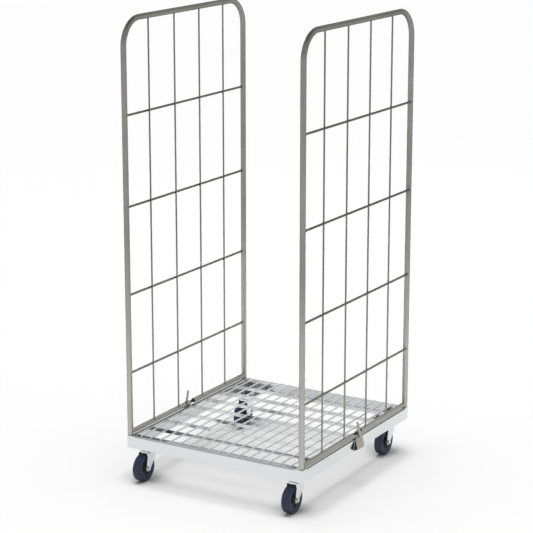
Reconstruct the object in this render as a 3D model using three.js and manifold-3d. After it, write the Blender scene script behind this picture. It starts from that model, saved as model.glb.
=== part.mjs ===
// Roll container: a sheet steel base on four swivel casters, a welded wire deck, and two lift-off side panels.
// Millimetres, +Z up, +X to the right, -Y towards the open loading front, z = 0 on the floor.
import * as THREE from 'three';
import { mergeVertices } from 'three/addons/utils/BufferGeometryUtils.js';
import Module from 'manifold-3d';

const wasm = await Module();
wasm.setup();

// Clearances shared by all pieces
const seatGap = 0.3; // between pieces that are seated, welded or bolted together
const runGap = 0.5; // between pieces that turn past each other
const weldSink = 0.5; // how far crossing rods of one welded piece sink into each other
const overrun = 8; // how far a cutting solid runs past what it cuts

// Base
const baseWidth = 720;
const baseDepth = 800;
const skirtHeight = 45;
const sheet = 2;
const skirtCornerRadius = 6;
const cornerLength = 28; // return of the front and rear beams along each side
const cornerPlateWidth = 34; // top plates of the corner brackets, across the base
const rimRadius = 6; // rolled upper edge of the beams
const rimLip = 3; // flat strip inside the rolled edge
const beamFlange = 20; // lower flange of the front and rear beams
const railWidth = 28;
const railBend = 4.5; // outer radius of the side rails' bends
const railLip = 9; // returns at the foot of the side rails
const railGroove = 3; // between the ledge of a side rail and its outer web
const railGrooveDepth = 8.5;
const railGrooveBend = 3; // outer radius of the ledge's edge at the groove
const railWebDrop = 3.5; // how far the outer web ends below the ledge
const railSlotInset = 5.5; // inner wall to the slot in the ledge
const railSlotWidth = 7;
const railSlotLength = 45;
const railSlotStart = 13; // from the middle of the side, towards the rear on the right

// Deck
const deckWireRadius = 3;
const deckWireCount = 16;
const deckWireInset = 27.5; // outermost wire to the side rail
const deckBarHeight = 12.5;
const deckBarRise = 3.3; // tops of the bars over the top of the base
const deckBarThickness = 4;
const deckBarCount = 9;
const deckBarInset = 21.2; // outermost bar to the outside of the beam

// Side panels
const panelHeight = 1487; // top of the base to the top of the panel
const tubeRadius = 10;
const tubeWall = 1.5;
const tubeBend = 95;
const pegRadius = 6;
const pegWall = 1.5;
const socketWall = 1.5;
const footGap = 3; // shadow gap under the foot of each upright
const pegPlug = 12; // length of the peg's collar inside the upright
const lowTubeRadius = 8;
const lowTubeWall = 1.5;
const lowTubeRise = 12; // top of the base to the axis of the low tube
const panelWireRadius = 3;
const panelWireSpacing = 162;
const panelWireCount = 4;
const crossWireHeightShares = [0.147, 0.341, 0.556, 0.775];

// Latch on each panel's low tube
const latchGapFront = 22; // free pin, from the middle towards the front
const latchGapRear = 32;
const latchPinRadius = 5;
const latchCollar = 2;
const latchPlug = 15; // length of the pin's ends inside the low tubes
const latchSleeveFront = 5;
const latchSleeveLength = 22;
const latchTilt = 18.4; // degrees from upright
const latchSheet = 2;
const latchDrop = 54; // pivot to the lower edge, along the plate
const latchCrest = 4; // pivot to the upper edge, along the plate
const latchFootFront = 33;
const latchFootRear = 20;
const latchShoulderFront = 22;
const latchShoulderDrop = 14;
const latchWingDepth = 26;
const latchWindowTop = 24; // pivot to the upper edge of the opening in the front wing, along the plate
const latchWindowFrame = 1.5; // left of the wing around that opening
const latchRodRadius = 4;
const latchRodTilt = 11.3; // degrees from upright, above its bend
const latchRodRise = 43; // pivot to the middle of its flat end
const latchRodAcross = 2; // from the middle of the panel
const latchRodFoot = 16; // pivot to the rod's lower end, along the plate
const latchRodBend = 2; // pivot to the rod's bend, along the plate

// Casters
const wheelRadius = 50;
const treadWidth = 30;
const tyreThickness = 17.7;
const tyreShoulder = 4; // height of the tyre's rounded shoulders
const tyreCrownDrop = 0.8; // how far the tread falls from its middle to the shoulders
const tyreFlankInset = 3; // how much narrower the tyre is at the hub
const wheelTrail = 34; // swivel axis to the axle
const casterInset = 55; // side of the base to the swivel axis
const casterSetback = 57; // front or rear of the base to the swivel axis
const forkSideClearance = 3;
const forkSheet = 3;
const forkShoulderRadius = 8;
const forkFrontReach = 34;
const forkRearReach = 23;
const forkBossRadius = 11;
const crownClearance = 6; // wheel to the underside of the fork's crown
const headHeight = 11;
const headRadius = 26;
const headTopRadius = 21;
const kingpinRadius = 6;
const kingpinHeadRadius = 11;
const kingpinHeadHeight = 4.5;
const raceHeight = 5.1;
const raceOuterRadius = 25;
const raceInnerRadius = 13;
const plateThickness = 3;
const plateWidth = 105;
const plateDepth = 80;
const plateCornerRadius = 8;
const boltSpacingX = 80;
const boltSpacingY = 56;
const boltRadius = 4;
const boltTip = 2; // thread standing out of each nut
const nutRadius = 7.4; // across the corners, halved
const nutHeight = 6.5;
const axleRadius = 4;
const axleHeadHeight = 5.3;
const axleThread = 3;
const bearingRadius = 8;
const hubBossRadius = 14;
const hubWeb = 10;
const hubRim = 5;
const hubDish = 3; // how far the hub's face lies inside the tyre's flank
const bracketRise = 6; // foot of the skirt to the underside of the mounting brackets
const bracketThickness = 4;
const bracketMargin = 3; // bracket around the caster's plate

// Facets
const tubeSides = 12;
const wireSides = 8;
const cutSides = 16;
const wheelSides = 20;
const latheSides = 16;
const smallSides = 12;
const bendSteps = 6;
const deckWireSides = 6;
const arcSteps = 4;

// Heights, from the floor up
const wheelTop = 2 * wheelRadius;
const crownUnderside = wheelTop + crownClearance;
const crownTop = crownUnderside + forkSheet;
const headTop = crownTop + headHeight;
const raceBottom = headTop + seatGap;
const plateBottom = raceBottom + raceHeight + seatGap;
const plateTop = plateBottom + plateThickness;
const bracketBottom = plateTop + seatGap;
const bracketTop = bracketBottom + bracketThickness;
const baseBottom = bracketBottom - bracketRise;
const baseTop = baseBottom + skirtHeight;
const lowTubeAxis = baseTop + lowTubeRise;
const panelTop = baseTop + panelHeight;
const topTubeAxis = panelTop - tubeRadius;

// Places in plan
const halfWidth = baseWidth / 2;
const halfDepth = baseDepth / 2;
const socketBore = pegRadius + seatGap;
const socketRadius = socketBore + socketWall;
const uprightInset = sheet + seatGap + socketRadius;
const uprightX = halfWidth - uprightInset;
const uprightY = halfDepth - uprightInset;
const casterX = halfWidth - casterInset;
const casterY = halfDepth - casterSetback;
const railInnerX = halfWidth - railWidth;
const railEnd = halfDepth - cornerLength - seatGap / 2;
const beamReturn = halfDepth - cornerLength + seatGap / 2;
const cornerPlateX = halfWidth - cornerPlateWidth;

// Finishes
const zincSheet = new THREE.MeshStandardMaterial({ color: 0xdadcdf, roughness: 0.42, metalness: 0.55 });
const zincWire = new THREE.MeshStandardMaterial({ color: 0xd2d5d8, roughness: 0.35, metalness: 0.7 });
const panelSteel = new THREE.MeshStandardMaterial({ color: 0xa6a59c, roughness: 0.38, metalness: 0.8 });
const darkSteel = new THREE.MeshStandardMaterial({ color: 0x4a4b4a, roughness: 0.5, metalness: 0.7 });
const tyreRubber = new THREE.MeshStandardMaterial({ color: 0x2d3049, roughness: 0.7, metalness: 0 });
const hubPlastic = new THREE.MeshStandardMaterial({ color: 0x2b2b2c, roughness: 0.55, metalness: 0 });

const group = new THREE.Group();

// A geometry with only its positions and index, without flat triangles, and with its faces pointing out.
function clean(geometry) {
  const copy = geometry.clone();
  copy.deleteAttribute('normal');
  copy.deleteAttribute('uv');
  const merged = mergeVertices(copy);
  const place = merged.getAttribute('position');
  const [a, b, c] = [new THREE.Vector3(), new THREE.Vector3(), new THREE.Vector3()];
  const kept = [];
  let volume = 0;
  for (let i = 0; i < merged.index.count; i += 3) {
    const [p, q, r] = [merged.index.getX(i), merged.index.getX(i + 1), merged.index.getX(i + 2)];
    if (p === q || q === r || r === p) continue;
    kept.push([p, q, r]);
    a.fromBufferAttribute(place, p);
    b.fromBufferAttribute(place, q);
    c.fromBufferAttribute(place, r);
    volume += a.dot(b.cross(c));
  }
  const turned = volume < 0 ? kept.map(([p, q, r]) => [p, r, q]) : kept;
  merged.setIndex(turned.flat());
  return merged;
}

function toSolid(geometry) {
  const bare = clean(geometry);
  const vertProperties = Float32Array.from(bare.getAttribute('position').array);
  const triVerts = Uint32Array.from(bare.index.array);
  return new wasm.Manifold(new wasm.Mesh({ numProp: 3, vertProperties, triVerts }));
}

function toGeometry(solid) {
  const mesh = solid.getMesh();
  const geometry = new THREE.BufferGeometry();
  geometry.setAttribute('position', new THREE.BufferAttribute(Float32Array.from(mesh.vertProperties), 3));
  geometry.setIndex(new THREE.BufferAttribute(Uint32Array.from(mesh.triVerts), 1));
  return geometry;
}

function join(...geometries) {
  return toGeometry(geometries.map(toSolid).reduce((whole, next) => whole.add(next)));
}

function cut(geometry, ...tools) {
  return toGeometry(tools.map(toSolid).reduce((rest, tool) => rest.subtract(tool), toSolid(geometry)));
}

function common(geometry, other) {
  return toGeometry(toSolid(geometry).intersect(toSolid(other)));
}

// Adds one named piece, with sharp edges kept sharp in its shading.
function piece(name, geometry, material, parent = group) {
  const shaded = clean(geometry).toNonIndexed();
  shaded.computeVertexNormals();
  const mesh = new THREE.Mesh(shaded, material);
  mesh.name = name;
  parent.add(mesh);
}

function block(x, y, z) {
  const geometry = new THREE.BoxGeometry(x[1] - x[0], y[1] - y[0], z[1] - z[0]);
  return geometry.translate((x[0] + x[1]) / 2, (y[0] + y[1]) / 2, (z[0] + z[1]) / 2);
}

function rod(from, to, radius, sides) {
  const start = new THREE.Vector3(...from);
  const end = new THREE.Vector3(...to);
  const along = end.clone().sub(start);
  const geometry = new THREE.CylinderGeometry(radius, radius, along.length(), sides);
  const turn = new THREE.Quaternion().setFromUnitVectors(new THREE.Vector3(0, 1, 0), along.normalize());
  geometry.applyQuaternion(turn);
  return geometry.translate(...start.add(end).divideScalar(2).toArray());
}

function circlePoints(radius, sides) {
  return Array.from({ length: sides }, (_, i) => {
    const angle = (2 * Math.PI * (i + 0.5)) / sides;
    return new THREE.Vector2(radius * Math.cos(angle), radius * Math.sin(angle));
  });
}

function arcPoints(cx, cy, radius, from, to, steps = arcSteps) {
  return Array.from({ length: steps + 1 }, (_, i) => {
    const angle = THREE.MathUtils.degToRad(from + ((to - from) * i) / steps);
    return new THREE.Vector2(cx + radius * Math.cos(angle), cy + radius * Math.sin(angle));
  });
}

function shapeOf(points, holes = []) {
  const shape = new THREE.Shape(points.map((p) => (p.isVector2 ? p : new THREE.Vector2(...p))));
  shape.holes = holes.map((hole) => new THREE.Path(hole));
  return shape;
}

// The three ways to pull a flat shape: up from its plan, along Y from its x-z section, along X from its y-z section.
function pull(shape, depth) {
  return new THREE.ExtrudeGeometry(shape, { depth, bevelEnabled: false });
}

function upward(shape, z) {
  return pull(shape, z[1] - z[0]).translate(0, 0, z[0]);
}

function alongY(shape, y) {
  return pull(shape, y[1] - y[0]).rotateX(Math.PI / 2).translate(0, y[1], 0);
}

function alongX(shape, x) {
  const turn = new THREE.Matrix4().makeBasis(
    new THREE.Vector3(0, 1, 0),
    new THREE.Vector3(0, 0, 1),
    new THREE.Vector3(1, 0, 0),
  );
  return pull(shape, x[1] - x[0]).applyMatrix4(turn).translate(x[0], 0, 0);
}

// A turned solid on the Z axis; its profile is a list of [radius, height].
function turned(profile, sides) {
  const points = profile.map((p) => new THREE.Vector2(...p));
  return new THREE.LatheGeometry(points, sides).rotateX(Math.PI / 2);
}

// A path whose steps fall on chosen places, so that a straight run takes one step and a bend takes several.
class StationPath extends THREE.Curve {
  constructor(stations) {
    super();
    this.stations = stations;
  }

  station(share) {
    return this.stations[Math.round(share * (this.stations.length - 1))];
  }

  getPoint(share, target = new THREE.Vector3()) {
    return target.copy(this.station(share).place);
  }

  getPointAt(share, target) {
    return this.getPoint(share, target);
  }

  getTangent(share, target = new THREE.Vector3()) {
    return target.copy(this.station(share).heading);
  }

  getTangentAt(share, target) {
    return this.getTangent(share, target);
  }
}

function sweep(stations, shape) {
  const extrudePath = new StationPath(stations);
  return new THREE.ExtrudeGeometry(shape, { steps: stations.length - 1, bevelEnabled: false, extrudePath });
}

// Base: front and rear beams
function beamSection() {
  const outside = -halfDepth;
  const rim = [outside + rimRadius, baseTop - rimRadius];
  return shapeOf([
    [outside, baseBottom],
    ...arcPoints(...rim, rimRadius, 180, 90).map((p) => p.toArray()),
    [outside + rimRadius + rimLip, baseTop],
    [outside + rimRadius + rimLip, baseTop - sheet],
    ...arcPoints(...rim, rimRadius - sheet, 90, 180).map((p) => p.toArray()),
    [outside + sheet, baseBottom + sheet],
    [outside + beamFlange, baseBottom + sheet],
    [outside + beamFlange, baseBottom],
  ]);
}

function beamCorner(side) {
  const inner = skirtCornerRadius - sheet;
  const centre = [halfWidth - skirtCornerRadius, -halfDepth + skirtCornerRadius];
  const start = cornerPlateX - seatGap - weldSink;
  const plan = shapeOf([
    [start, -halfDepth],
    ...arcPoints(...centre, skirtCornerRadius, -90, 0).map((p) => p.toArray()),
    [halfWidth, -beamReturn],
    [halfWidth - sheet, -beamReturn],
    ...arcPoints(...centre, inner, 0, -90).map((p) => p.toArray()),
    [start, -halfDepth + sheet],
  ]);
  return upward(plan, [baseBottom, baseTop]).scale(side, 1, 1);
}

function addBeams() {
  const span = cornerPlateX - seatGap;
  const beam = join(alongX(beamSection(), [-span, span]), beamCorner(1), beamCorner(-1));
  piece('front_beam', beam, zincSheet);
  piece('rear_beam', beam.clone().rotateZ(Math.PI), zincSheet);
}

// Base: side rails, each a channel with its open side down and a groove between its ledge and its outer web
function railSection() {
  const ledgeX = halfWidth - sheet - railGroove;
  const bendOut = [ledgeX - railGrooveBend, baseTop - railGrooveBend];
  const bendIn = [railInnerX + railBend, baseTop - railBend];
  const grooveFloor = baseTop - railGrooveDepth;
  return shapeOf([
    [halfWidth, baseBottom],
    [halfWidth, baseTop - railWebDrop],
    [halfWidth - sheet, baseTop - railWebDrop],
    [halfWidth - sheet, grooveFloor],
    [ledgeX, grooveFloor],
    ...arcPoints(...bendOut, railGrooveBend, 0, 90).map((p) => p.toArray()),
    ...arcPoints(...bendIn, railBend, 90, 180).map((p) => p.toArray()),
    [railInnerX, baseBottom],
    [railInnerX + railLip, baseBottom],
    [railInnerX + railLip, baseBottom + sheet],
    [railInnerX + sheet, baseBottom + sheet],
    ...arcPoints(...bendIn, railBend - sheet, 180, 90).map((p) => p.toArray()),
    ...arcPoints(...bendOut, railGrooveBend - sheet, 90, 0).map((p) => p.toArray()),
    [ledgeX - sheet, grooveFloor - sheet],
    [halfWidth - sheet, grooveFloor - sheet],
    [halfWidth - sheet, baseBottom + sheet],
    [halfWidth - railLip, baseBottom + sheet],
    [halfWidth - railLip, baseBottom],
  ]);
}

function addRails() {
  const whole = alongY(railSection(), [-railEnd, railEnd]);
  const notchStart = casterY - plateDepth / 2 - bracketMargin - seatGap;
  const notches = [-1, 1].map((end) => {
    const reach = [end * notchStart, end * (railEnd + overrun)].sort((p, q) => p - q);
    const across = [railInnerX - overrun, halfWidth - sheet];
    return block(across, reach, [baseBottom - overrun, bracketTop + seatGap]);
  });
  const slotX = railInnerX + railSlotInset;
  const slotY = [railSlotStart, railSlotStart + railSlotLength];
  const slot = block([slotX, slotX + railSlotWidth], slotY, [baseTop - overrun, baseTop + overrun]);
  const rail = cut(whole, slot, ...notches);
  piece('right_side_rail', rail, zincSheet);
  piece('left_side_rail', rail.clone().rotateZ(Math.PI), zincSheet);
}

// Base: a corner bracket holds a caster below and the socket for one upright above
function cornerOutline(x, y) {
  const radius = skirtCornerRadius - sheet - seatGap;
  const right = halfWidth - sheet - seatGap;
  const back = halfDepth - sheet - seatGap;
  const round = arcPoints(right - radius, back - radius, radius, 0, 90, 2).map((p) => p.toArray());
  return [[x, y], [right, y], ...round, [x, back]];
}

function boltPlaces() {
  const [x, y] = [boltSpacingX / 2, boltSpacingY / 2];
  return [[x, y], [-x, y], [-x, -y], [x, -y]];
}

function cornerBracket() {
  const lowX = casterX - plateWidth / 2 - bracketMargin;
  const lowY = casterY - plateDepth / 2 - bracketMargin;
  const boltBore = boltRadius + runGap;
  const lowPlate = upward(shapeOf(cornerOutline(lowX, lowY)), [bracketBottom, bracketTop]);
  const topPlate = upward(shapeOf(cornerOutline(cornerPlateX, beamReturn)), [baseTop - sheet, baseTop]);
  const socket = rod([uprightX, uprightY, bracketTop - weldSink], [uprightX, uprightY, baseTop - weldSink],
    socketRadius, smallSides);
  const bore = rod([uprightX, uprightY, bracketTop], [uprightX, uprightY, baseTop + overrun],
    socketBore, smallSides);
  const holes = boltPlaces().map(([x, y]) => rod(
    [casterX + x, casterY + y, bracketBottom - overrun],
    [casterX + x, casterY + y, bracketTop + overrun],
    boltBore, wireSides,
  ));
  return cut(join(lowPlate, topPlate, socket), bore, ...holes);
}

// Deck: long wires on edge bars, one welded grid
function deckGrid() {
  const wireZ = baseTop + deckWireRadius - weldSink;
  const wireEnd = halfDepth - rimRadius - rimLip - seatGap;
  const wireSpan = railInnerX - deckWireInset;
  const barSpan = halfDepth - deckBarInset;
  const pieces = [];
  for (let i = 0; i < deckWireCount; i += 1) {
    const x = -wireSpan + (2 * wireSpan * i) / (deckWireCount - 1);
    pieces.push(rod([x, -wireEnd, wireZ], [x, wireEnd, wireZ], deckWireRadius, deckWireSides));
  }
  for (let i = 0; i < deckBarCount; i += 1) {
    const y = -barSpan + (2 * barSpan * i) / (deckBarCount - 1);
    const besideCorner = Math.abs(y) + deckBarThickness / 2 > beamReturn - seatGap;
    const end = (besideCorner ? cornerPlateX : railInnerX) - seatGap;
    const across = [y - deckBarThickness / 2, y + deckBarThickness / 2];
    const barTop = baseTop + deckBarRise;
    pieces.push(block([-end, end], across, [barTop - deckBarHeight, barTop]));
  }
  return join(...pieces);
}

// Side panels: a bent tube with two pegs at its feet
function frameStations() {
  const foot = baseTop + footGap;
  const [up, over, down] = [new THREE.Vector3(0, 0, 1), new THREE.Vector3(0, 1, 0), new THREE.Vector3(0, 0, -1)];
  const stations = [{ place: new THREE.Vector3(uprightX, -uprightY, foot), heading: up }];
  for (const side of [-1, 1]) {
    for (let i = 0; i <= bendSteps; i += 1) {
      const turn = (Math.PI / 2) * (side < 0 ? 1 - i / bendSteps : i / bendSteps);
      const out = new THREE.Vector3(0, side * Math.sin(turn), Math.cos(turn)).multiplyScalar(tubeBend);
      const place = new THREE.Vector3(uprightX, side * (uprightY - tubeBend), topTubeAxis - tubeBend).add(out);
      const heading = new THREE.Vector3(0, Math.cos(turn), -side * Math.sin(turn));
      stations.push({ place, heading });
    }
  }
  stations.push({ place: new THREE.Vector3(uprightX, uprightY, foot), heading: down });
  return stations;
}

function panelFrame() {
  const tube = shapeOf(circlePoints(tubeRadius, tubeSides), [circlePoints(tubeRadius - tubeWall, tubeSides)]);
  const foot = baseTop + footGap;
  const pegFoot = bracketTop + seatGap;
  const pegBore = pegRadius - pegWall;
  const collarRadius = tubeRadius - tubeWall / 2;
  const peg = turned([
    [pegBore, pegFoot],
    [pegRadius, pegFoot],
    [pegRadius, foot + pegWall],
    [collarRadius, foot + pegWall],
    [collarRadius, foot + pegPlug],
    [pegBore, foot + pegPlug],
    [pegBore, pegFoot],
  ], tubeSides);
  const pegs = [-1, 1].map((end) => peg.clone().translate(uprightX, end * uprightY, 0));
  return join(sweep(frameStations(), tube), ...pegs);
}

function lowTube(y, name) {
  const ends = [...y].sort((p, q) => p - q);
  const shape = shapeOf(circlePoints(lowTubeRadius, tubeSides), [circlePoints(lowTubeRadius - lowTubeWall, tubeSides)]);
  const tube = alongY(shape, ends).translate(uprightX, 0, lowTubeAxis);
  return { name, geometry: cut(tube, uprightTool(Math.sign(y[1]))) };
}

// Cutting cylinders that leave a seat around the frame's tubes
function uprightTool(end) {
  const y = end * uprightY;
  return rod([uprightX, y, baseTop - overrun], [uprightX, y, panelTop + overrun], tubeRadius + seatGap, cutSides);
}

function levelTool(height, radius) {
  const reach = uprightY + overrun;
  return rod([uprightX, -reach, height], [uprightX, reach, height], radius + seatGap, cutSides);
}

function panelGrid() {
  const apart = panelWireRadius - weldSink / 2;
  const rise = topTubeAxis - lowTubeAxis;
  const pieces = [];
  for (let i = 0; i < panelWireCount; i += 1) {
    const y = (i - (panelWireCount - 1) / 2) * panelWireSpacing;
    const x = uprightX - apart;
    pieces.push(rod([x, y, lowTubeAxis], [x, y, topTubeAxis], panelWireRadius, wireSides));
  }
  for (const share of crossWireHeightShares) {
    const z = lowTubeAxis + share * rise;
    const x = uprightX + apart;
    pieces.push(rod([x, -uprightY, z], [x, uprightY, z], panelWireRadius, wireSides));
  }
  const tools = [uprightTool(-1), uprightTool(1), levelTool(topTubeAxis, tubeRadius),
    levelTool(lowTubeAxis, lowTubeRadius)];
  return cut(join(...pieces), ...tools);
}

// Latch: a pin between the two low tubes carries a sleeve with a flared plate and a thumb rod
function latchPin() {
  const plug = lowTubeRadius - lowTubeWall - seatGap;
  const front = -latchGapFront;
  const rear = latchGapRear;
  return new THREE.LatheGeometry([
    [0, front - latchCollar - latchPlug],
    [plug, front - latchCollar - latchPlug],
    [plug, front - latchCollar],
    [lowTubeRadius, front - latchCollar],
    [lowTubeRadius, front],
    [latchPinRadius, front],
    [latchPinRadius, rear],
    [lowTubeRadius, rear],
    [lowTubeRadius, rear + latchCollar],
    [plug, rear + latchCollar],
    [plug, rear + latchCollar + latchPlug],
    [0, rear + latchCollar + latchPlug],
  ].map((p) => new THREE.Vector2(...p)), tubeSides).translate(uprightX, 0, lowTubeAxis);
}

// From the latch's own directions (along the tube, up the plate, out of the plate) to its place on the panel
function latchPlace() {
  const tilt = THREE.MathUtils.degToRad(latchTilt);
  const along = new THREE.Vector3(0, 1, 0);
  const up = new THREE.Vector3(-Math.sin(tilt), 0, Math.cos(tilt));
  const out = new THREE.Vector3(Math.cos(tilt), 0, Math.sin(tilt));
  return new THREE.Matrix4().makeBasis(along, up, out).setPosition(uprightX, 0, lowTubeAxis);
}

function latchOutline(inset, below) {
  const sleeveRear = latchSleeveFront + latchSleeveLength;
  const foot = -latchDrop - below;
  return shapeOf([
    [-latchFootFront + inset, foot],
    [latchFootRear - inset, foot],
    [sleeveRear - inset, -latchShoulderDrop],
    [sleeveRear - inset, latchCrest + below],
    [latchSleeveFront + inset, latchCrest + below],
    [-latchShoulderFront + inset, -latchShoulderDrop],
  ]);
}

// The wedge that opens the front wing of the latch
function latchWindow(inner, reach) {
  const front = -latchFootFront - overrun;
  const foot = -latchDrop + latchWindowFrame;
  const shape = shapeOf([[front, foot], [0, foot], [0, -latchWindowTop], [front, -latchWindowTop]]);
  const wedge = pull(shape, latchWingDepth).translate(0, 0, inner - weldSink - latchWingDepth);
  const across = [halfWidth + seatGap + latchWindowFrame, halfWidth + latchDrop];
  return common(wedge.applyMatrix4(latchPlace()), block(across, reach, [baseBottom - latchDrop, lowTubeAxis]));
}

function latchPlate() {
  const inner = lowTubeRadius - weldSink;
  const place = latchPlace();
  const plate = pull(latchOutline(0, 0), latchSheet).translate(0, 0, inner).applyMatrix4(place);
  const depth = latchWingDepth + weldSink;
  const solidWings = pull(latchOutline(0, 0), depth).translate(0, 0, inner - latchWingDepth).applyMatrix4(place);
  const hollow = pull(latchOutline(latchSheet, overrun), depth + 2 * overrun)
    .translate(0, 0, inner - latchWingDepth - overrun).applyMatrix4(place);
  const reach = [-latchFootFront - overrun, latchFootFront + latchSleeveLength + overrun];
  const skirt = block([0, halfWidth + seatGap], reach, [baseBottom - latchDrop, lowTubeAxis + latchDrop]);
  const wings = cut(solidWings, hollow, skirt);
  const sleeveEnds = [latchSleeveFront, latchSleeveFront + latchSleeveLength];
  const at = (y) => [uprightX, y, lowTubeAxis];
  const sleeve = rod(at(sleeveEnds[0]), at(sleeveEnds[1]), lowTubeRadius, tubeSides);
  const bore = rod(at(sleeveEnds[0] - overrun), at(sleeveEnds[1] + overrun), latchPinRadius + seatGap, cutSides);
  return cut(join(plate, wings, sleeve), bore, latchWindow(inner, reach));
}

function latchRod() {
  const off = lowTubeRadius - weldSink + latchSheet + seatGap + latchRodRadius;
  const place = latchPlace();
  const onPlate = (height) => new THREE.Vector3(latchRodAcross, height, off).applyMatrix4(place);
  const foot = onPlate(-latchRodFoot);
  const bend = onPlate(latchRodBend);
  const tilt = THREE.MathUtils.degToRad(latchRodTilt);
  const upper = new THREE.Vector3(-Math.sin(tilt), 0, Math.cos(tilt));
  const rise = (lowTubeAxis + latchRodRise - bend.z) / upper.z;
  const tip = bend.clone().addScaledVector(upper, rise);
  const lower = bend.clone().sub(foot).normalize();
  const stations = [
    { place: foot, heading: lower },
    { place: bend, heading: lower.clone().add(upper).normalize() },
    { place: tip, heading: upper },
  ];
  return sweep(stations, shapeOf(circlePoints(latchRodRadius, wireSides)));
}

function addPanel(side, turn) {
  const panel = new THREE.Group();
  panel.rotation.z = turn;
  group.add(panel);
  piece(`${side}_panel_frame`, panelFrame(), panelSteel, panel);
  piece(`${side}_panel_wire_grid`, panelGrid(), panelSteel, panel);
  const lowTubes = [
    lowTube([-latchGapFront - latchCollar - seatGap, -uprightY], `${side}_panel_low_tube_a`),
    lowTube([latchGapRear + latchCollar + seatGap, uprightY], `${side}_panel_low_tube_b`),
  ];
  lowTubes.forEach(({ name, geometry }) => piece(name, geometry, panelSteel, panel));
  piece(`${side}_latch_pin`, latchPin(), darkSteel, panel);
  piece(`${side}_latch_plate`, latchPlate(), panelSteel, panel);
  piece(`${side}_latch_rod`, latchRod(), panelSteel, panel);
}

// Casters, each in its own frame with the swivel axis on Z and the wheel trailing towards the front
function casterPlate() {
  const [x, y] = [plateWidth / 2 - plateCornerRadius, plateDepth / 2 - plateCornerRadius];
  const outline = [[x, y, 0], [-x, y, 90], [-x, -y, 180], [x, -y, 270]]
    .flatMap(([cx, cy, from]) => arcPoints(cx, cy, plateCornerRadius, from, from + 90, 2));
  const plate = upward(shapeOf(outline), [plateBottom, plateTop]);
  const nutBottom = bracketTop + seatGap;
  const studs = boltPlaces().map(([bx, by]) => join(
    rod([bx, by, plateBottom + weldSink], [bx, by, nutBottom + nutHeight + boltTip], boltRadius, wireSides),
    rod([bx, by, nutBottom], [bx, by, nutBottom + nutHeight], nutRadius, 6),
  ));
  return join(plate, ...studs);
}

function kingpin() {
  const head = crownUnderside - seatGap;
  return turned([
    [0, head - kingpinHeadHeight],
    [kingpinHeadRadius, head - kingpinHeadHeight],
    [kingpinHeadRadius, head],
    [kingpinRadius, head],
    [kingpinRadius, plateBottom - seatGap],
    [0, plateBottom - seatGap],
  ], smallSides);
}

function ballRace() {
  const [low, high] = [raceBottom, raceBottom + raceHeight];
  const bevel = raceHeight / 3;
  return turned([
    [raceInnerRadius, low],
    [raceOuterRadius - bevel, low],
    [raceOuterRadius, low + bevel],
    [raceOuterRadius, high - bevel],
    [raceOuterRadius - bevel, high],
    [raceInnerRadius, high],
    [raceInnerRadius, low],
  ], latheSides);
}

// The fork is pressed from one sheet: its side view cuts a round-shouldered channel.
function forkSideView() {
  const axle = [-wheelTrail, wheelRadius];
  const front = -forkFrontReach;
  const bossArc = arcPoints(...axle, forkBossRadius, 170, 315, 2 * arcSteps).map((p) => p.toArray());
  const last = new THREE.Vector2(...bossArc[bossArc.length - 1]);
  const rearTop = new THREE.Vector2(forkRearReach, crownTop);
  const bulge = new THREE.Vector2(-forkBossRadius / 2, wheelRadius + forkBossRadius / 2);
  const rearEdge = new THREE.QuadraticBezierCurve(last, bulge, rearTop).getPoints(arcSteps);
  return shapeOf([[front, crownTop], ...bossArc, ...rearEdge.slice(1).map((p) => p.toArray())]);
}

function forkSection() {
  const inner = treadWidth / 2 + forkSideClearance;
  const outer = inner + forkSheet;
  const bend = forkShoulderRadius;
  const low = wheelRadius - forkBossRadius - overrun;
  const within = bend - forkSheet;
  return shapeOf([
    [outer, low],
    ...arcPoints(outer - bend, crownTop - bend, bend, 0, 90, 3),
    ...arcPoints(-outer + bend, crownTop - bend, bend, 90, 180, 3),
    [-outer, low],
    [-inner, low],
    ...arcPoints(-inner + within, crownUnderside - within, within, 180, 90, 3),
    ...arcPoints(inner - within, crownUnderside - within, within, 90, 0, 3),
    [inner, low],
  ]);
}

function fork() {
  const outer = treadWidth / 2 + forkSideClearance + forkSheet;
  const sides = [-outer - overrun, outer + overrun];
  const length = [-wheelTrail - forkBossRadius - overrun, forkRearReach + overrun];
  const pressed = common(alongX(forkSideView(), sides), alongY(forkSection(), length));
  const head = turned([
    [0, crownTop - weldSink],
    [headRadius, crownTop - weldSink],
    [headRadius, crownTop + headHeight / 3],
    [headTopRadius, headTop],
    [0, headTop],
  ], latheSides);
  const pinHole = rod([0, 0, crownUnderside - overrun], [0, 0, headTop + overrun], kingpinRadius + seatGap, cutSides);
  const axleAt = (x) => [x, -wheelTrail, wheelRadius];
  const axleHole = rod(axleAt(sides[0]), axleAt(sides[1]), axleRadius + seatGap, smallSides);
  return cut(join(pressed, head), pinHole, axleHole);
}

function axleBolt() {
  const outer = treadWidth / 2 + forkSideClearance + forkSheet + seatGap;
  const far = outer + nutHeight + axleThread;
  const at = (x) => [x, -wheelTrail, wheelRadius];
  return join(
    rod(at(-far), at(outer + weldSink), axleRadius, smallSides),
    rod(at(outer), at(outer + axleHeadHeight), nutRadius, 6),
  );
}

function axleNut() {
  const outer = treadWidth / 2 + forkSideClearance + forkSheet + seatGap;
  const at = (x) => [x, -wheelTrail, wheelRadius];
  const nut = rod(at(-outer - nutHeight), at(-outer), nutRadius, 6);
  return cut(nut, rod(at(-outer - nutHeight - overrun), at(-outer + overrun), axleRadius + seatGap, cutSides));
}

// A turned piece on the wheel's axle; its profile is a list of [radius, distance across].
function onAxle(profile, sides) {
  const points = profile.map((p) => new THREE.Vector2(...p));
  return new THREE.LatheGeometry(points, sides).rotateZ(-Math.PI / 2).rotateX(Math.PI / 2)
    .translate(0, -wheelTrail, wheelRadius);
}

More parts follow.
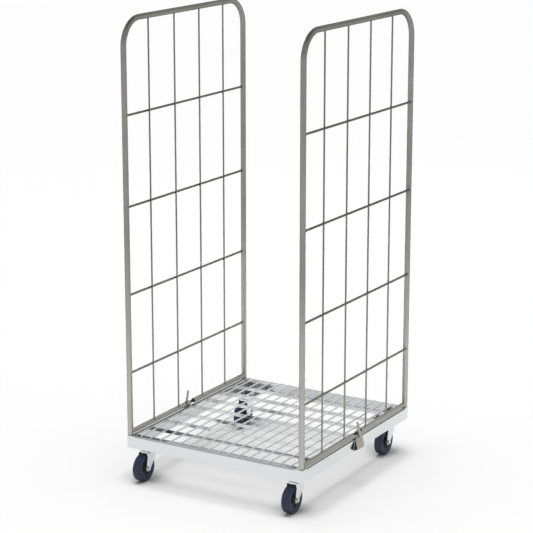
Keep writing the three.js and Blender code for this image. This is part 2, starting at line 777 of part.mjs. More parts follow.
function bearing() {
  const half = treadWidth / 2 + forkSideClearance - seatGap;
  const bore = axleRadius + seatGap;
  return onAxle([[bore, -half], [bearingRadius, -half], [bearingRadius, half], [bore, half], [bore, -half]], smallSides);
}

function hub() {
  const bore = bearingRadius + seatGap;
  const rim = wheelRadius - tyreThickness - seatGap;
  const boss = treadWidth / 2 + forkSideClearance - runGap;
  const face = treadWidth / 2 - hubDish;
  const half = [
    [bore, boss],
    [hubBossRadius, boss],
    [hubBossRadius + hubDish, hubWeb / 2],
    [rim - hubRim - hubDish / 2, hubWeb / 2],
    [rim - hubRim, face],
    [rim, face],
  ];
  const mirrored = half.map(([r, x]) => [r, -x]).reverse();
  return onAxle([...half, ...mirrored, half[0]], wheelSides);
}

function tyre() {
  const inner = wheelRadius - tyreThickness;
  const flank = treadWidth / 2 - tyreFlankInset;
  const half = treadWidth / 2;
  const profile = [
    [inner, flank],
    [wheelRadius - tyreShoulder, half],
    [wheelRadius - tyreCrownDrop - tyreShoulder / 6, half - tyreShoulder / 4],
    [wheelRadius - tyreCrownDrop / 2, half / 2],
    [wheelRadius, 0],
  ];
  const mirrored = profile.slice(0, -1).map(([r, x]) => [r, -x]).reverse();
  return onAxle([...profile, ...mirrored, profile[0]], wheelSides);
}

function addCaster(corner, sideX, sideY) {
  const caster = new THREE.Group();
  caster.position.set(sideX * casterX, sideY * casterY, 0);
  group.add(caster);
  piece(`${corner}_caster_plate`, casterPlate(), zincSheet, caster);
  piece(`${corner}_caster_kingpin`, kingpin(), darkSteel, caster);
  piece(`${corner}_caster_ball_race`, ballRace(), zincSheet, caster);
  piece(`${corner}_caster_fork`, fork(), zincSheet, caster);
  piece(`${corner}_caster_axle_bolt`, axleBolt(), zincWire, caster);
  piece(`${corner}_caster_axle_nut`, axleNut(), zincWire, caster);
  piece(`${corner}_caster_bearing`, bearing(), darkSteel, caster);
  piece(`${corner}_wheel_hub`, hub(), hubPlastic, caster);
  piece(`${corner}_wheel_tyre`, tyre(), tyreRubber, caster);
  piece(`${corner}_corner_bracket`, cornerBracket().scale(sideX, sideY, 1), zincSheet);
}

addBeams();
addRails();
piece('deck_grid', deckGrid(), zincWire);
addPanel('right', 0);
addPanel('left', Math.PI);
addCaster('front_left', -1, -1);
addCaster('front_right', 1, -1);
addCaster('rear_left', -1, 1);
addCaster('rear_right', 1, 1);

// The wheels trail past the front of the base, so the whole part moves back to centre its outline on the origin.
group.position.y = (casterY + wheelTrail + wheelRadius - halfDepth) / 2;

export default group;
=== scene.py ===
"""Looks of the roll container: fine surfaces, materials, floor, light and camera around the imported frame.

Sizes are in millimetres, in the base's own plan: x = y = 0 is the middle of the base, z = 0 the floor.
"""

import math

import bmesh
import bpy
from mathutils import Matrix, Vector


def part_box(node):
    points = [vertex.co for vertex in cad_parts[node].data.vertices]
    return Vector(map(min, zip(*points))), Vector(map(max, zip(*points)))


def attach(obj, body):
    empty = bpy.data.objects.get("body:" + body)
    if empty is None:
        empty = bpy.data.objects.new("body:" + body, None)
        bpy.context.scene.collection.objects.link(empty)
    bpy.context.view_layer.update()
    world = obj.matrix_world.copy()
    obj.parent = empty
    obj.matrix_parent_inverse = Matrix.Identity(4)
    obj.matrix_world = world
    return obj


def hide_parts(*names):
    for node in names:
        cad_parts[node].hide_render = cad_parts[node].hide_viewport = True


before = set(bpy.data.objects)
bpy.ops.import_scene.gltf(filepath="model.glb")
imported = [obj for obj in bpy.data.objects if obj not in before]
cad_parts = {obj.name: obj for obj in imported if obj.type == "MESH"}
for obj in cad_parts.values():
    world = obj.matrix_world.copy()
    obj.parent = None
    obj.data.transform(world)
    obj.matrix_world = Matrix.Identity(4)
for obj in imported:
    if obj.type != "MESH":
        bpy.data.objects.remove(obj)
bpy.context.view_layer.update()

MM = 0.001
CORNERS = ("front_left", "front_right", "rear_left", "rear_right")
SIDE_X = {"front_left": -1, "front_right": 1, "rear_left": -1, "rear_right": 1}
SIDE_Y = {"front_left": -1, "front_right": -1, "rear_left": 1, "rear_right": 1}
# The base's middle lies a little behind the frame's origin.
BASE_Y = (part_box("front_beam")[0].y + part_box("rear_beam")[1].y) / 2
SEAT_GAP = 0.3  # between pieces that are seated or welded together

# Base
HALF_W, HALF_D = 360.0, 400.0
SKIRT_Z, TOP_Z = 123.0, 168.0
SHEET = 2.0
RETURN_Y = 371.85  # end of the beams' returns along the sides
CORNER_X = 326.0  # inner edge of the corner brackets
RAIL_X = 332.0  # inner wall of the side rails

# Deck
WIRE_R = 3.0
DECK_WIRE_Z = TOP_Z + 2.5
DECK_WIRE_END = 390.7
DECK_WIRE_SPAN = 304.5
DECK_WIRES = 16
DECK_BAR_SPAN = 378.8
DECK_BARS = 9
DECK_BAR_T, DECK_BAR_H = 4.0, 12.5
DECK_BAR_TOP = TOP_Z + 3.3

# Panels
UP_X, UP_Y = 349.9, 389.9
TUBE_R, BEND_R = 10.0, 95.0
TUBE_TOP = 1645.0
FOOT_Z = TOP_Z + 3.0
PEG_R, PEG_LOW = 6.0, 133.3
LOW_Z, LOW_R, LOW_BORE = 180.0, 8.0, 6.5
GRID_Y = (-243.0, -81.0, 81.0, 243.0)
GRID_Z = tuple(LOW_Z + share * (TUBE_TOP - LOW_Z) for share in (0.147, 0.341, 0.556, 0.775))
GRID_OFF = 2.75  # from the middle of a panel to the axes of its wires
LEVEL_R = 4.0  # the level wires are stouter than the upright ones

# Latch. Its own directions are u along the tube, v up the plate from the pin, and w out of the plate.
PIN_FRONT, PIN_REAR, PIN_R = -22.0, 32.0, 5.0
COLLAR = 2.0
TILT = math.radians(18.4)
PLATE_IN, PLATE_T = 7.5, 2.0
CREST_V, SHOULDER_V, FOOT_V = 4.0, -14.0, -54.0
SLEEVE_FRONT, SLEEVE_REAR = 5.0, 27.0
SHOULDER_FRONT, FOOT_FRONT, FOOT_REAR = -22.0, -33.0, 20.0
WINDOW_V = (-24.0, -52.4)  # top and bottom of the opening in the front wing
ROD_R, ROD_U = 4.0, 2.0
ROD_FOOT_V, ROD_BEND_V, ROD_TOP = -16.0, -2.0, LOW_Z + 43.0
ROD_LEAN = math.radians(11.3)

# Casters
CASTER_X, CASTER_Y = 305.0, 343.0
TRAIL, WHEEL_R, TREAD = 34.0, 50.0, 30.0
HUB_R = 32.3
FORK_TOP, FORK_SHEET = 109.0, 3.0
AXLE_HOLE_R, PIN_HOLE_R = 4.3, 6.3


# Meshes


def merge(parts):
    verts, faces = [], []
    for part_verts, part_faces in parts:
        start = len(verts)
        verts += part_verts
        faces += [[i + start for i in face] for face in part_faces]
    return verts, faces


def rings_to_faces(rings, closed=False):
    """Faces between one ring of vertices and the next; a ring of one vertex is a tip."""
    faces = []
    pairs = list(zip(rings, rings[1:]))
    if closed:
        pairs.append((rings[-1], rings[0]))
    for a, b in pairs:
        if len(a) == 1 and len(b) == 1:
            continue
        n = max(len(a), len(b))
        for i in range(n):
            j = (i + 1) % n
            if len(a) == 1:
                faces.append([a[0], b[i], b[j]])
            elif len(b) == 1:
                faces.append([a[i], a[j], b[0]])
            else:
                faces.append([a[i], a[j], b[j], b[i]])
    return faces


def circle(centre, side, up, radius, sides):
    turns = [2 * math.pi * k / sides for k in range(sides)]
    return [centre + (side * math.cos(t) + up * math.sin(t)) * radius for t in turns]


def tube(path, radii, sides=24):
    """A round bar along a path, with its own radius at each point and flat ends."""
    path = [Vector(p) for p in path]
    verts, rings = [], []
    side = None
    for i, centre in enumerate(path):
        ahead = (path[min(i + 1, len(path) - 1)] - path[max(i - 1, 0)]).normalized()
        side = ahead.orthogonal() if side is None else side - side.dot(ahead) * ahead
        side.normalize()
        rings.append(list(range(len(verts), len(verts) + sides)))
        verts += circle(centre, side, ahead.cross(side), radii[i], sides)
    faces = rings_to_faces(rings)
    faces.append(list(reversed(rings[0])))
    faces.append(rings[-1])
    return verts, faces


def lathe(profile, origin, axis, sides=48, loop=False):
    """A turned shape: profile is a list of (place along the axis, radius)."""
    axis = Vector(axis).normalized()
    side = axis.orthogonal().normalized()
    up = axis.cross(side)
    verts, rings = [], []
    for along, radius in profile:
        centre = Vector(origin) + axis * along
        ring = [centre] if radius == 0 else circle(centre, side, up, radius, sides)
        rings.append(list(range(len(verts), len(verts) + len(ring))))
        verts += ring
    return verts, rings_to_faces(rings, loop)


def drill(radius, low, high, origin, axis):
    """A round bar with closed ends, as a tool."""
    return lathe([(low, 0), (low, radius), (high, radius), (high, 0)], origin, axis, 32)


def prism(outline, low, high, place=lambda u, v, w: (u, v, w)):
    """A flat outline pulled from low to high; place turns its own directions into x, y, z."""
    n = len(outline)
    verts = [Vector(place(u, v, w)) for w in (low, high) for u, v in outline]
    faces = [list(range(n))[::-1], list(range(n, 2 * n))]
    faces += [[i, (i + 1) % n, n + (i + 1) % n, n + i] for i in range(n)]
    return verts, faces


def block(x, y, z):
    return prism([(x[0], y[0]), (x[1], y[0]), (x[1], y[1]), (x[0], y[1])], z[0], z[1])


def bead(centre, size, sides=10, rows=5):
    """A small flattened bead of weld; size is its reach along x, y and z."""
    profile = [(-1.0, 0)]
    profile += [(-math.cos(math.pi * k / rows), math.sin(math.pi * k / rows)) for k in range(1, rows)]
    profile += [(1.0, 0)]
    verts, faces = lathe(profile, (0, 0, 0), (0, 0, 1), sides)
    return [Vector(centre) + Vector((v.x * size[0], v.y * size[1], v.z * size[2])) for v in verts], faces


def arc(cx, cy, radius, start, end, steps):
    turns = [math.radians(start + (end - start) * i / steps) for i in range(steps + 1)]
    return [(cx + radius * math.cos(t), cy + radius * math.sin(t)) for t in turns]


def mirrored(half):
    """A turned profile of (place, radius) from one end to its middle plane, and back on the other side."""
    return half + [(-x, r) for x, r in reversed(half) if x != 0]


def moved(part, offset):
    return [v + Vector(offset) for v in part[0]], part[1]


def as_mesh(name, parts, turned=False):
    """A mesh in metres in the frame; turned puts it half a turn round the middle of the base."""
    verts, faces = merge(parts)
    sign = -1 if turned else 1
    mesh = bpy.data.meshes.new(name)
    points = [(sign * v.x * MM, sign * v.y * MM + BASE_Y, v.z * MM) for v in verts]
    mesh.from_pydata(points, [], faces)
    bm = bmesh.new()
    bm.from_mesh(mesh)
    bmesh.ops.recalc_face_normals(bm, faces=bm.faces)
    bm.to_mesh(mesh)
    bm.free()
    return mesh


def carved(name, parts, steps, turned=False):
    """A mesh joined with, cut by or cut down to other shapes, one after the other."""
    objs = []
    for i, some in enumerate([parts] + [tool for _, tool in steps]):
        tool_name = f"{name}_tool_{i}"
        obj = bpy.data.objects.new(tool_name, as_mesh(tool_name, some, turned))
        bpy.context.scene.collection.objects.link(obj)
        objs.append(obj)
    for tool, (how, _) in zip(objs[1:], steps):
        mod = objs[0].modifiers.new("cut", "BOOLEAN")
        mod.operation, mod.object, mod.solver = how, tool, "EXACT"
    bpy.context.view_layer.update()
    done = bpy.data.meshes.new_from_object(objs[0].evaluated_get(bpy.context.evaluated_depsgraph_get()))
    done.name = name
    for obj in objs:
        bpy.data.objects.remove(obj)
    return done


def add_piece(mesh, body, look, stands_for, angle=35.0):
    """A piece that rides a body and replaces a CAD node, smooth where its faces meet below the angle."""
    for face in mesh.polygons:
        face.use_smooth = True
    mesh.set_sharp_from_angle(angle=math.radians(angle))
    obj = bpy.data.objects.new(mesh.name, mesh)
    bpy.context.scene.collection.objects.link(obj)
    obj.data.materials.append(look)
    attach(obj, body)
    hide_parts(stands_for)
    return obj


def bevel(obj, width, angle=35.0, harden=True):
    mod = obj.modifiers.new("edges", "BEVEL")
    mod.width = width * MM
    mod.segments = 2
    mod.limit_method = "ANGLE"
    mod.angle_limit = math.radians(angle)
    mod.harden_normals = harden


def dress_node(node, look, width=0.25):
    """A CAD node that keeps its shape gets its finish and softened edges."""
    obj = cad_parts[node]
    obj.data.materials.clear()
    obj.data.materials.append(look)
    joined = obj.modifiers.new("weld", "WELD")
    joined.merge_threshold = 0.00001
    bevel(obj, width, 40.0, harden=False)


# Materials


def tree_of(name):
    look = bpy.data.materials.new(name)
    look.use_nodes = True
    nodes, links = look.node_tree.nodes, look.node_tree.links
    return look, nodes, links, nodes["Principled BSDF"]


def noise(nodes, links, place, scale, detail=3.0, rough=0.55):
    node = nodes.new("ShaderNodeTexNoise")
    node.inputs["Scale"].default_value = scale
    node.inputs["Detail"].default_value = detail
    node.inputs["Roughness"].default_value = rough
    links.new(place, node.inputs["Vector"])
    return node.outputs["Fac"]


def spread(nodes, links, value, low, high, start=0.3, end=0.7):
    """A value that runs from start to end, made to run from low to high."""
    node = nodes.new("ShaderNodeMapRange")
    node.inputs["From Min"].default_value = start
    node.inputs["From Max"].default_value = end
    node.inputs["To Min"].default_value = low
    node.inputs["To Max"].default_value = high
    links.new(value, node.inputs["Value"])
    return node.outputs["Result"]


def height_of(nodes, links, place):
    node = nodes.new("ShaderNodeSeparateXYZ")
    links.new(place, node.inputs[0])
    return node.outputs["Z"]


def mix(nodes, links, factor, a, b, blend="MIX"):
    node = nodes.new("ShaderNodeMix")
    node.data_type = "RGBA"
    node.blend_type = blend
    for value, socket in ((factor, node.inputs[0]), (a, node.inputs[6]), (b, node.inputs[7])):
        if isinstance(value, (int, float, tuple)):
            socket.default_value = value
        else:
            links.new(value, socket)
    return node.outputs[2]


def bump(nodes, links, shader, height, distance, strength):
    node = nodes.new("ShaderNodeBump")
    node.inputs["Distance"].default_value = distance
    node.inputs["Strength"].default_value = strength
    links.new(height, node.inputs["Height"])
    links.new(node.outputs["Normal"], shader.inputs["Normal"])


def metal(name, colour, dark, rough, grain, smudge=6.0, edge=(1, 1, 1, 1), low=None, metallic=1.0):
    """Plated steel: cloudy tone, crystals of the plating, uneven gloss and a fine grain.

    low is a lighter tone painted towards the base, a painted reflection of the bright floor near it; edge
    is its tint at a grazing angle.
    """
    look, nodes, links, shader = tree_of(name)
    place = nodes.new("ShaderNodeTexCoord").outputs["Object"]
    cloud = spread(nodes, links, noise(nodes, links, place, smudge, detail=5.0), 0.0, 1.0)
    cells = nodes.new("ShaderNodeTexVoronoi")
    cells.inputs["Scale"].default_value = grain
    links.new(place, cells.inputs["Vector"])
    to_grey = nodes.new("ShaderNodeSeparateColor")
    links.new(cells.outputs["Color"], to_grey.inputs[0])
    toned = mix(nodes, links, cloud, dark, colour)
    # Painted reflection: towards the base the tone turns to low, standing in for the bright floor that the
    # steel mirrors there.
    if low is not None:
        painted_floor_reflection = spread(nodes, links, height_of(nodes, links, place), 1.0, 0.0, start=0.35, end=0.85)
        toned = mix(nodes, links, painted_floor_reflection, toned, low)
    speck = spread(nodes, links, to_grey.outputs[0], 0.0, 0.10, start=0.0, end=1.0)
    links.new(mix(nodes, links, speck, toned, dark, "MULTIPLY"), shader.inputs["Base Color"])
    shader.inputs["Metallic"].default_value = metallic
    wear = noise(nodes, links, place, smudge * 5, detail=6.0)
    links.new(spread(nodes, links, wear, rough * 0.8, rough * 1.3), shader.inputs["Roughness"])
    fine = noise(nodes, links, place, scale=900.0, detail=2.0)
    bump(nodes, links, shader, fine, distance=0.00002, strength=0.15)
    shader.inputs["Specular Tint"].default_value = edge
    return look


def rubber(name, colour, dusty):
    """Matt rubber with a little dust on it."""
    look, nodes, links, shader = tree_of(name)
    place = nodes.new("ShaderNodeTexCoord").outputs["Object"]
    cloud = noise(nodes, links, place, scale=45.0, detail=6.0, rough=0.65)
    dust = spread(nodes, links, cloud, 0.0, 1.0, start=0.45, end=0.75)
    links.new(mix(nodes, links, dust, colour, dusty), shader.inputs["Base Color"])
    wear = noise(nodes, links, place, scale=120.0, detail=4.0)
    links.new(spread(nodes, links, wear, 0.50, 0.68), shader.inputs["Roughness"])
    fine = noise(nodes, links, place, scale=1400.0, detail=2.0)
    bump(nodes, links, shader, fine, distance=0.00005, strength=0.4)
    return look


def plastic(name, colour, worn):
    """Moulded plastic, scuffed lighter in places."""
    look, nodes, links, shader = tree_of(name)
    place = nodes.new("ShaderNodeTexCoord").outputs["Object"]
    cloud = noise(nodes, links, place, scale=90.0, detail=6.0, rough=0.7)
    scuff = spread(nodes, links, cloud, 0.0, 1.0, start=0.5, end=0.8)
    links.new(mix(nodes, links, scuff, colour, worn), shader.inputs["Base Color"])
    wear = noise(nodes, links, place, scale=200.0, detail=3.0)
    links.new(spread(nodes, links, wear, 0.42, 0.58), shader.inputs["Roughness"])
    fine = noise(nodes, links, place, scale=2200.0, detail=1.0)
    bump(nodes, links, shader, fine, distance=0.00003, strength=0.3)
    return look


ZINC = metal("zinc_sheet_look", (0.76, 0.77, 0.78, 1), (0.72, 0.73, 0.74, 1), rough=0.14, grain=140.0)
WIRE = metal(
    "zinc_wire_look", (0.77, 0.78, 0.79, 1), (0.72, 0.73, 0.74, 1), rough=0.12, grain=260.0, smudge=9.0
)
PANEL_FINISH = {"rough": 0.30, "grain": 320.0, "smudge": 7.0, "edge": (0.45, 0.45, 0.43, 1)}
# The low tones of the panel steel and its wires are a painted reflection of the bright floor, lighter
# towards the base.
STEEL = metal(
    "panel_steel_look", (0.30, 0.295, 0.272, 1), (0.25, 0.246, 0.227, 1), low=(0.48, 0.475, 0.435, 1),
    **PANEL_FINISH,
)
GRID = metal(
    "panel_wire_look", (0.20, 0.197, 0.182, 1), (0.17, 0.167, 0.154, 1), low=(0.30, 0.297, 0.274, 1),
    **PANEL_FINISH,
)
DARK = metal(
    "dark_steel_look", (0.06, 0.06, 0.06, 1), (0.03, 0.03, 0.03, 1), rough=0.45, grain=300.0, smudge=20.0,
    metallic=0.70,
)
TYRE = rubber("tyre_rubber_look", (0.012, 0.015, 0.044, 1), (0.024, 0.027, 0.060, 1))
HUB = plastic("hub_plastic_look", (0.022, 0.022, 0.023, 1), (0.050, 0.050, 0.050, 1))
LATCH_BLACK = rubber("latch_black_look", (0.006, 0.006, 0.006, 1), (0.012, 0.012, 0.012, 1))


# Base


def beam_parts():
    """A beam with a rolled upper edge and a lower flange, and its returns round both corners."""
    rim, lip, flange, corner = 6.0, 3.0, 20.0, 6.0
    face = -HALF_D
    rim_middle = (face + rim, TOP_Z - rim)
    section = [(face, SKIRT_Z)]
    section += arc(*rim_middle, rim, 180, 90, 14)
    section += [(face + rim + lip, TOP_Z), (face + rim + lip, TOP_Z - SHEET)]
    section += arc(*rim_middle, rim - SHEET, 90, 180, 14)
    section += [(face + SHEET, SKIRT_Z + SHEET), (face + flange, SKIRT_Z + SHEET), (face + flange, SKIRT_Z)]
    span = CORNER_X - SEAT_GAP
    parts = [prism(section, -span, span, lambda u, v, w: (w, u, v))]
    corner_middle = (HALF_W - corner, face + corner)
    plan = [(span, face)]
    plan += arc(*corner_middle, corner, -90, 0, 12)
    plan += [(HALF_W, -RETURN_Y), (HALF_W - SHEET, -RETURN_Y)]
    plan += arc(*corner_middle, corner - SHEET, 0, -90, 12)
    plan += [(span, face + SHEET)]
    for side in (-1, 1):
        parts.append(prism([(side * u, v) for u, v in plan], SKIRT_Z, TOP_Z))
    return parts


def rail_parts():
    """A side rail: inner wall, ledge, narrow groove and outer web, bent from one sheet."""
    bend, edge = 4.5, 3.0
    groove, groove_depth, web_drop, foot = 3.0, 8.5, 3.5, 9.0
    web, ledge, floor = HALF_W - SHEET, HALF_W - SHEET - groove, TOP_Z - groove_depth
    out, near = (ledge - edge, TOP_Z - edge), (RAIL_X + bend, TOP_Z - bend)
    section = [(HALF_W, SKIRT_Z), (HALF_W, TOP_Z - web_drop), (web, TOP_Z - web_drop)]
    section += [(web, floor), (ledge, floor)]
    section += arc(*out, edge, 0, 90, 8) + arc(*near, bend, 90, 180, 10)
    section += [(RAIL_X, SKIRT_Z), (RAIL_X + foot, SKIRT_Z), (RAIL_X + foot, SKIRT_Z + SHEET)]
    section += [(RAIL_X + SHEET, SKIRT_Z + SHEET)]
    section += arc(*near, bend - SHEET, 180, 90, 10) + arc(*out, edge - SHEET, 90, 0, 8)
    section += [(ledge - SHEET, floor - SHEET), (web, floor - SHEET)]
    section += [(web, SKIRT_Z + SHEET), (HALF_W - foot, SKIRT_Z + SHEET), (HALF_W - foot, SKIRT_Z)]
    return [prism(section, -RETURN_Y, RETURN_Y, lambda u, v, w: (u, w, v))]


def slot_parts():
    """The round-ended slot in a side rail's ledge, as a tool."""
    inset, width, start, length, past = 5.5, 7.0, 13.0, 45.0, 8.0
    middle, radius = RAIL_X + inset + width / 2, width / 2
    outline = arc(middle, start + radius, radius, 180, 360, 12)
    outline += arc(middle, start + length - radius, radius, 0, 180, 12)
    return [prism(outline, TOP_Z - past, TOP_Z + past)]


def make_base():
    for name, turned in (("front_beam", False), ("rear_beam", True)):
        mesh = as_mesh("fine_" + name, beam_parts(), turned)
        bevel(add_piece(mesh, "base", ZINC, name), 0.4)
    for name, turned in (("right_side_rail", False), ("left_side_rail", True)):
        mesh = carved("fine_" + name, rail_parts(), [("DIFFERENCE", slot_parts())], turned)
        bevel(add_piece(mesh, "base", ZINC, name), 0.4)
    for corner in CORNERS:
        dress_node(corner + "_corner_bracket", ZINC, 0.4)
        dress_node(corner + "_caster_plate", ZINC, 0.3)


def make_deck():
    """Long wires with eased ends, let into flat bars on edge, with a bead of weld at each crossing."""
    parts = []
    xs = [-DECK_WIRE_SPAN + 2 * DECK_WIRE_SPAN * i / (DECK_WIRES - 1) for i in range(DECK_WIRES)]
    ys = [-DECK_BAR_SPAN + 2 * DECK_BAR_SPAN * i / (DECK_BARS - 1) for i in range(DECK_BARS)]
    eased = [(0.0, 0.5), (0.3, 0.8), (1.0, 0.97), (2.0, 1.0)]  # from the end, share of the radius
    rows = [(-DECK_WIRE_END + d, r * WIRE_R) for d, r in eased]
    rows += [(DECK_WIRE_END - d, r * WIRE_R) for d, r in reversed(eased)]
    for x in xs:
        parts.append(tube([(x, y, DECK_WIRE_Z) for y, _ in rows], [r for _, r in rows], 20))
    bead_size = (WIRE_R * 1.25, DECK_BAR_T / 2 + 1.0, 0.8)
    for y in ys:
        end = (CORNER_X if abs(y) > RETURN_Y else RAIL_X) - SEAT_GAP
        thickness = (y - DECK_BAR_T / 2, y + DECK_BAR_T / 2)
        parts.append(block((-end, end), thickness, (DECK_BAR_TOP - DECK_BAR_H, DECK_BAR_TOP)))
        for x in xs:
            parts.append(bead((x, y, DECK_BAR_TOP), bead_size))
    add_piece(as_mesh("fine_deck_grid", parts), "base", WIRE, "deck_grid")


# Side panels


def frame_parts():
    """One bar from the front peg up over both bends and down to the rear peg."""
    tip, step, edge, straight = 0.8, 0.01, 0.6, 40.0
    half = [(UP_Y, PEG_LOW, PEG_R - tip), (UP_Y, PEG_LOW + tip, PEG_R), (UP_Y, FOOT_Z - step, PEG_R)]
    half += [(UP_Y, FOOT_Z, TUBE_R - edge), (UP_Y, FOOT_Z + edge, TUBE_R)]
    half += [(UP_Y, FOOT_Z + straight, TUBE_R)]
    half += [(y, z, TUBE_R) for y, z in arc(UP_Y - BEND_R, TUBE_TOP - BEND_R, BEND_R, 0, 90, 16)]
    rows = [(-y, z, r) for y, z, r in half] + half[::-1]
    return [tube([(UP_X, y, z) for y, z, _ in rows], [r for _, _, r in rows], 40)]


def grid_parts():
    """Upright wires inside and level wires outside, welded to each other and to the tubes."""
    parts = []
    x_in, x_out = UP_X - GRID_OFF, UP_X + GRID_OFF
    # The weld at a wire's end starts inside the tube, whose side falls away from it.
    sunk = 6.0
    flare = [(0.0, 1.7), (5.5, 1.6), (6.1, 1.3), (7.1, 1.08), (8.5, 1.0)]

    def wire(start, end, radius, point):
        rows = [(start + d, radius + (r - 1) * WIRE_R) for d, r in flare]
        rows += [(end - d, radius + (r - 1) * WIRE_R) for d, r in reversed(flare)]
        parts.append(tube([point(a) for a, _ in rows], [r for _, r in rows], 20))

    top = TUBE_TOP - math.sqrt(TUBE_R**2 - GRID_OFF**2) + sunk
    low = LOW_Z + math.sqrt(LOW_R**2 - GRID_OFF**2) - sunk
    for y in GRID_Y:
        wire(low, top, WIRE_R, lambda a, y=y: (x_in, y, a))
    reach = UP_Y - math.sqrt(TUBE_R**2 - GRID_OFF**2) + sunk
    for z in GRID_Z:
        wire(-reach, reach, LEVEL_R, lambda a, z=z: (x_out, a, z))
        for y in GRID_Y:
            parts.append(bead((UP_X, y, z), (1.2, WIRE_R * 1.25, LEVEL_R * 1.25)))
    return parts


def low_tube_parts(start, end):
    """From its open end beside the latch to its weld on the upright."""
    sign = 1 if end > start else -1
    reach, edge = abs(end - start), 0.4
    outer = [(0.0, LOW_R - edge), (edge, LOW_R)]
    outer += [(reach - 3, LOW_R), (reach - 1, LOW_R + 0.6), (reach, LOW_R + 1.4)]
    inner = [(reach, LOW_BORE), (edge, LOW_BORE), (0.0, LOW_BORE + edge)]
    return [lathe(outer + inner, (UP_X, start, LOW_Z), (0, sign, 0), 32, True)]


def on_latch(u, v, w):
    """From the latch's own directions to x, y, z."""
    x = UP_X - math.sin(TILT) * v + math.cos(TILT) * w
    z = LOW_Z + math.cos(TILT) * v + math.sin(TILT) * w
    return Vector((x, u, z))


def skirt_depth(v, clear):
    """How far out of the latch's own plane the rail's skirt lies at v, and clear beyond it."""
    return (HALF_W + clear - UP_X + math.sin(TILT) * v) / math.cos(TILT)


def plate_sides(v):
    """Where the latch plate starts and ends along the tube: it flares from its shoulder to its foot."""
    if v < SHOULDER_V:
        down = (v - SHOULDER_V) / (SHOULDER_V - FOOT_V)
        front = SHOULDER_FRONT + down * (SHOULDER_FRONT - FOOT_FRONT)
        return front, SLEEVE_REAR + down * (SLEEVE_REAR - FOOT_REAR)
    slope = (SLEEVE_FRONT - SHOULDER_FRONT) / (CREST_V - SHOULDER_V)
    return SHOULDER_FRONT + (v - SHOULDER_V) * slope, SLEEVE_REAR


def latch_plate_parts():
    """The plate's middle surface, thickened later. Below the shoulder its sides fold back to the skirt."""
    half = PLATE_T / 2
    middle, shallow = PLATE_IN + half, PLATE_IN + half - 0.2
    trim, steps, strip = 0.4, 12, 1.4
    fold = [(0.0, 1.5), (0.5, 0.4), (1.6, 0.0)]  # from the side, from the middle of the face
    crest, foot = CREST_V - trim, FOOT_V + trim
    heights = [crest - (crest - foot) * k / steps for k in range(steps + 1)] + list(WINDOW_V)
    rows = sorted(heights, reverse=True)
    verts, faces = [], []
    for v in rows:
        front, rear = plate_sides(v)
        front, rear = front + half, rear - half
        back = min(skirt_depth(v, 0.35), shallow) if v < SHOULDER_V else shallow
        line = [(front, back), (front, back + strip)]
        line += [(front + across, middle - deep) for across, deep in fold]
        line += [(rear - across, middle - deep) for across, deep in reversed(fold)]
        line += [(rear, back)]
        verts += [on_latch(u, v, min(w, middle)) for u, w in line]
    n = len(verts) // len(rows)
    for k, v in enumerate(rows[:-1]):
        opened = WINDOW_V[0] >= v > WINDOW_V[1]
        # The second strip of the front wing is left out where the opening is.
        strips = [i for i in range(n - 1) if not (opened and i == 1)]
        faces += [[k * n + i, k * n + i + 1, (k + 1) * n + i + 1, (k + 1) * n + i] for i in strips]
    return [(verts, faces)]


def latch_black_block_parts():
    """A near-black block inside the plate, seen through the opening in its front wing."""
    high = PLATE_IN - 0.4
    verts = []
    for v in (-20.0, -53.0):
        front, rear = plate_sides(v)
        front, rear, low = front + 2.6, rear - 3, skirt_depth(v, 0.9)
        verts += [on_latch(u, v, w) for u, w in ((front, low), (rear, low), (rear, high), (front, high))]
    faces = [[0, 1, 2, 3], [7, 6, 5, 4]] + [[i, i + 4, (i + 1) % 4 + 4, (i + 1) % 4] for i in range(4)]
    return [(verts, faces)]


def latch_sleeve_parts():
    length, bore, mouth, edge = SLEEVE_REAR - SLEEVE_FRONT, PIN_R + 0.3, 0.3, 0.4
    profile = [(0, bore + mouth), (0, LOW_R - edge), (edge, LOW_R)]
    profile += [(length - edge, LOW_R), (length, LOW_R - edge)]
    profile += [(length, bore + mouth), (length - mouth, bore), (mouth, bore)]
    return [lathe(profile, (UP_X, SLEEVE_FRONT, LOW_Z), (0, 1, 0), 32, True)]


def latch_rod_parts():
    """The thumb rod on the plate's face: bent upwards, with a flat end and two beads of weld."""
    off = PLATE_IN + PLATE_T + SEAT_GAP + ROD_R
    foot, bend = on_latch(ROD_U, ROD_FOOT_V, off), on_latch(ROD_U, ROD_BEND_V, off)
    upper = Vector((-math.sin(ROD_LEAN), 0, math.cos(ROD_LEAN)))
    tip = bend + upper * ((ROD_TOP - bend.z) / upper.z)
    path = [foot, foot + (bend - foot) * 0.05, bend - (bend - foot) * 0.2, bend, bend + upper * 3]
    radii = [ROD_R * 0.85, ROD_R, ROD_R, ROD_R, ROD_R]
    for back, less in ((1.0, 0.0), (0.5, 0.14), (0.15, 0.4), (0.0, 0.8)):
        path.append(tip - upper * back)
        radii.append(ROD_R - less)
    parts = [tube(path, radii, 24)]
    for v in (-12.0, -6.0):
        parts.append(bead(on_latch(ROD_U, v, off - ROD_R + 0.2), (1.6, ROD_R * 1.1, 2.4)))
    return parts


def pin_parts():
    """The latch's pin between two collars, with a plug in each low tube."""
    plug, plug_length, edge = 6.2, 15.0, 0.3
    end = [(0, PIN_R), (0, LOW_R - edge), (edge, LOW_R), (COLLAR - edge, LOW_R), (COLLAR, LOW_R - edge)]
    end += [(COLLAR, plug), (COLLAR + plug_length, plug), (COLLAR + plug_length, 0)]
    rows = [(PIN_FRONT - d, r) for d, r in reversed(end)] + [(PIN_REAR + d, r) for d, r in end]
    return [lathe(rows, (UP_X, 0, LOW_Z), (0, 1, 0), 32)]


